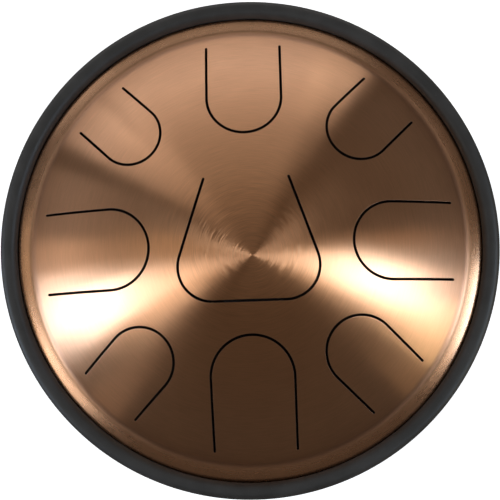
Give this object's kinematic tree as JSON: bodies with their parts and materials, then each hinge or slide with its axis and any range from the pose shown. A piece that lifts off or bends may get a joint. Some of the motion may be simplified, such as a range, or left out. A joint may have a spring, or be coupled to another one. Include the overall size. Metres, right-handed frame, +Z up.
{
  "type": "steel tongue drum",
  "caption": "Round steel tongue drum: two pressed domes joined at a rubber-covered rim, sprung tongues cut in the top, a sound port below.",
  "frame": {"origin": "on the floor, under the drum's axis: the centre of the bounding box's bottom face", "axes": "+Z up along the drum's axis, -Y towards the player and the largest outer tongue, +X to the player's right"},
  "size_m": [0.34, 0.34, 0.1464],
  "materials": {
    "copper_steel": "copper-toned, brushed round the axis, satin lacquer",
    "black_rubber": "matte black",
    "seal": "matte dark grey"
  },
  "bodies": {
    "drum_body": {"top_shell": "copper_steel", "bottom_shell": "copper_steel", "rim_seal": "seal", "rim_ring": "black_rubber", "port_trim": "black_rubber", "foot_1": "black_rubber", "foot_2": "black_rubber", "foot_3": "black_rubber", "foot_4": "black_rubber"},
    "tongue_center": {"tongue_center": "copper_steel"},
    "tongue_1": {"tongue_1": "copper_steel"},
    "tongue_2": {"tongue_2": "copper_steel"},
    "tongue_3": {"tongue_3": "copper_steel"},
    "tongue_4": {"tongue_4": "copper_steel"},
    "tongue_5": {"tongue_5": "copper_steel"},
    "tongue_6": {"tongue_6": "copper_steel"},
    "tongue_7": {"tongue_7": "copper_steel"},
    "tongue_8": {"tongue_8": "copper_steel"}
  },
  "joints": [
    {"name": "tongue_center_flex", "type": "hinge", "parent": "drum_body", "child": "tongue_center", "pos_m": [0, 0.0434, 0.1411], "axis": [1, 0, 0], "range_deg": [-0.8, 0.8], "stiffness_Nm_per_rad": 60},
    {"name": "tongue_1_flex", "type": "hinge", "parent": "drum_body", "child": "tongue_1", "pos_m": [0, -0.13636, 0.09363], "axis": [-1, 0, 0], "range_deg": [-0.8, 0.8], "stiffness_Nm_per_rad": 62},
    {"name": "tongue_2_flex", "type": "hinge", "parent": "drum_body", "child": "tongue_2", "pos_m": [-0.13656, 0, 0.09345], "axis": [0, 1, 0], "range_deg": [-0.8, 0.8], "stiffness_Nm_per_rad": 64},
    {"name": "tongue_3_flex", "type": "hinge", "parent": "drum_body", "child": "tongue_3", "pos_m": [0.13675, 0, 0.09328], "axis": [0, -1, 0], "range_deg": [-0.8, 0.8], "stiffness_Nm_per_rad": 65},
    {"name": "tongue_4_flex", "type": "hinge", "parent": "drum_body", "child": "tongue_4", "pos_m": [0, 0.13694, 0.09311], "axis": [1, 0, 0], "range_deg": [-0.8, 0.8], "stiffness_Nm_per_rad": 67},
    {"name": "tongue_5_flex", "type": "hinge", "parent": "drum_body", "child": "tongue_5", "pos_m": [0.09695, -0.09695, 0.09295], "axis": [-0.7071, -0.7071, 0], "range_deg": [-0.8, 0.8], "stiffness_Nm_per_rad": 70},
    {"name": "tongue_6_flex", "type": "hinge", "parent": "drum_body", "child": "tongue_6", "pos_m": [-0.09708, -0.09708, 0.09279], "axis": [-0.7071, 0.7071, 0], "range_deg": [-0.8, 0.8], "stiffness_Nm_per_rad": 71},
    {"name": "tongue_7_flex", "type": "hinge", "parent": "drum_body", "child": "tongue_7", "pos_m": [0.09719, 0.09719, 0.09265], "axis": [0.7071, -0.7071, 0], "range_deg": [-0.8, 0.8], "stiffness_Nm_per_rad": 72},
    {"name": "tongue_8_flex", "type": "hinge", "parent": "drum_body", "child": "tongue_8", "pos_m": [-0.0973, 0.0973, 0.0925], "axis": [0.7071, 0.7071, 0], "range_deg": [-0.8, 0.8], "stiffness_Nm_per_rad": 71}
  ]
}
